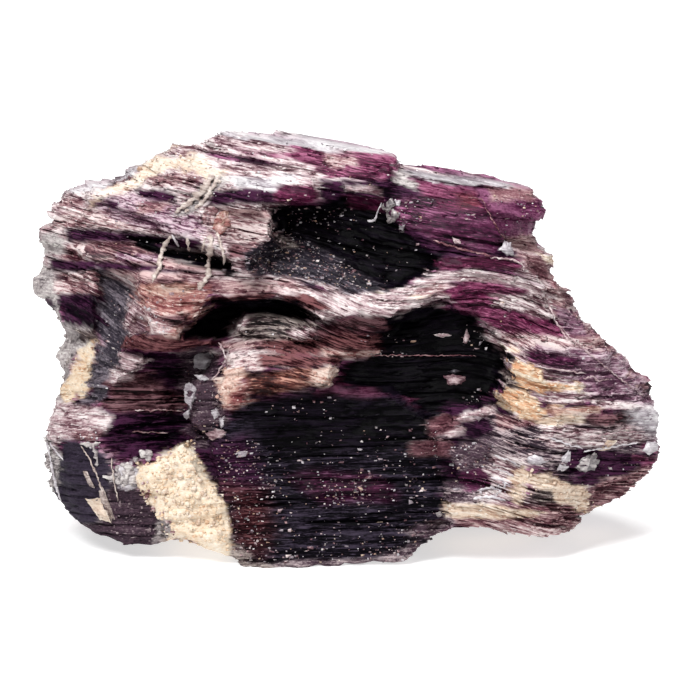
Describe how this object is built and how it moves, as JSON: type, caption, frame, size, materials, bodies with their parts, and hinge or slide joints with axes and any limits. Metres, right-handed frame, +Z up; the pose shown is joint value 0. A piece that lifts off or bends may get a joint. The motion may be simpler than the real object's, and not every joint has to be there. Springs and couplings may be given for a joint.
{
  "type": "lepidolite specimen",
  "caption": "Broken hand specimen of lilac lithium mica, a lump of stacked mica books stepped into ledges, with hollows in its front and a flat foot to stand on.",
  "frame": {"origin": "middle of the footprint box on the surface that the specimen stands on", "axes": "+Z up, +X along the specimen's width to the right of its hollowed front, and the front faces -Y"},
  "size_m": [0.09, 0.0505, 0.0562],
  "materials": {
    "mica": "natural lilac mica: deep purple to black books with pearly silver-pink broken edges and peach crumbly patches"
  },
  "bodies": {
    "root": {"lepidolite": "mica"}
  },
  "joints": []
}
